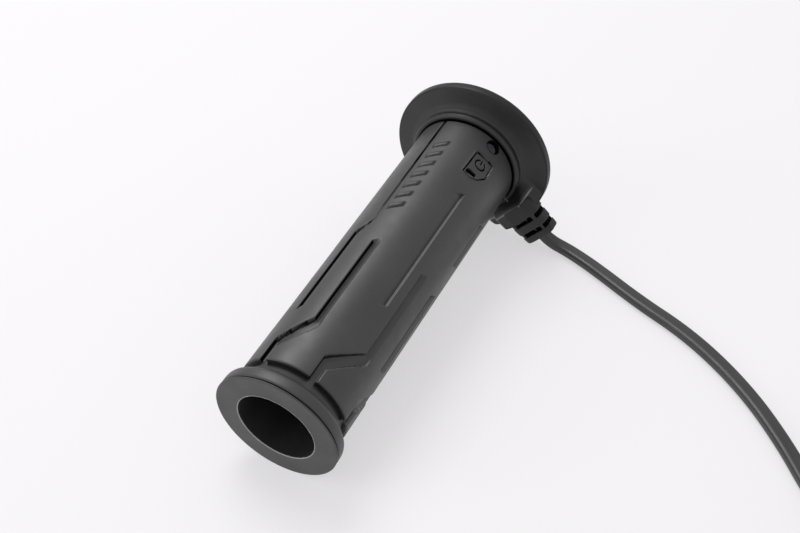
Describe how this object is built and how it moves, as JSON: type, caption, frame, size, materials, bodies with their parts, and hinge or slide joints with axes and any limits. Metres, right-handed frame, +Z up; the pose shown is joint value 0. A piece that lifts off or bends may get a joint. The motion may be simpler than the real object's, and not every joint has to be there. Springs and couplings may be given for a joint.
{
  "type": "heated handlebar grip",
  "caption": "Left-hand heated handlebar grip with flange, grooved rubber sleeve, push-button power switch, status lamp, moulded cable boot and a flat lead with plug.",
  "frame": {"origin": "bottom centre of the grip's own box, without the lead, on the surface it lies on", "axes": "+X along the grip to its flange (the axis rises 3.96 degrees, because the flange is wider than the end ring), +Z up"},
  "size_m": [0.123, 0.2026, 0.0519],
  "materials": {
    "grip_rubber": "matte, finely grained",
    "core_nylon": "satin moulded",
    "film_amber": "smooth polyimide",
    "copper": "etched",
    "board_green": "solder mask",
    "chip_black": "moulded",
    "lamp_lens": "frosted",
    "led_white": "smooth",
    "button_rubber": "matte",
    "silicone": "soft matte",
    "steel": "bright",
    "solder": "bright",
    "wire_insulation": "satin",
    "lead_jacket": "satin",
    "tie_fabric": "woven",
    "plug_plastic": "satin moulded",
    "plug_lock": "smooth",
    "terminal_brass": "tinned"
  },
  "bodies": {
    "grip": {"core_tube": "core_nylon", "grip_sleeve": "grip_rubber", "flange_cover": "grip_rubber", "strain_relief": "grip_rubber", "cable_clamp": "steel", "heater_film": "film_amber", "heater_trace": "copper", "heater_tails": "copper", "temperature_sensor": "chip_black", "control_board": "board_green", "switch_body": "chip_black", "button_seal": "silicone", "lamp_window": "lamp_lens", "lamp_led": "led_white", "microcontroller": "chip_black", "power_transistor": "chip_black", "board_passives": "chip_black", "solder_joints": "solder", "lead_wires": "wire_insulation", "cable": "lead_jacket", "cable_coil": "lead_jacket", "cable_tail": "lead_jacket", "coil_ties": "tie_fabric", "plug_housing": "plug_plastic", "plug_seal": "silicone", "plug_terminals": "terminal_brass", "plug_lock": "plug_lock"},
    "button": {"power_button": "button_rubber"},
    "plunger": {"switch_plunger": "lamp_lens"}
  },
  "joints": [
    {"name": "button_press", "type": "slide", "parent": "grip", "child": "button", "axis": [0.0521, 0.6561, -0.7529], "range_m": [0, 0.0004], "stiffness_N_per_m": 400, "springref_m": -0.001},
    {"name": "plunger_press", "type": "slide", "parent": "grip", "child": "plunger", "axis": [0.0521, 0.6561, -0.7529], "range_m": [0, 0.0004]}
  ],
  "couplings": [
    {"joint": "plunger_press", "follows": "button_press", "ratio": 1}
  ]
}
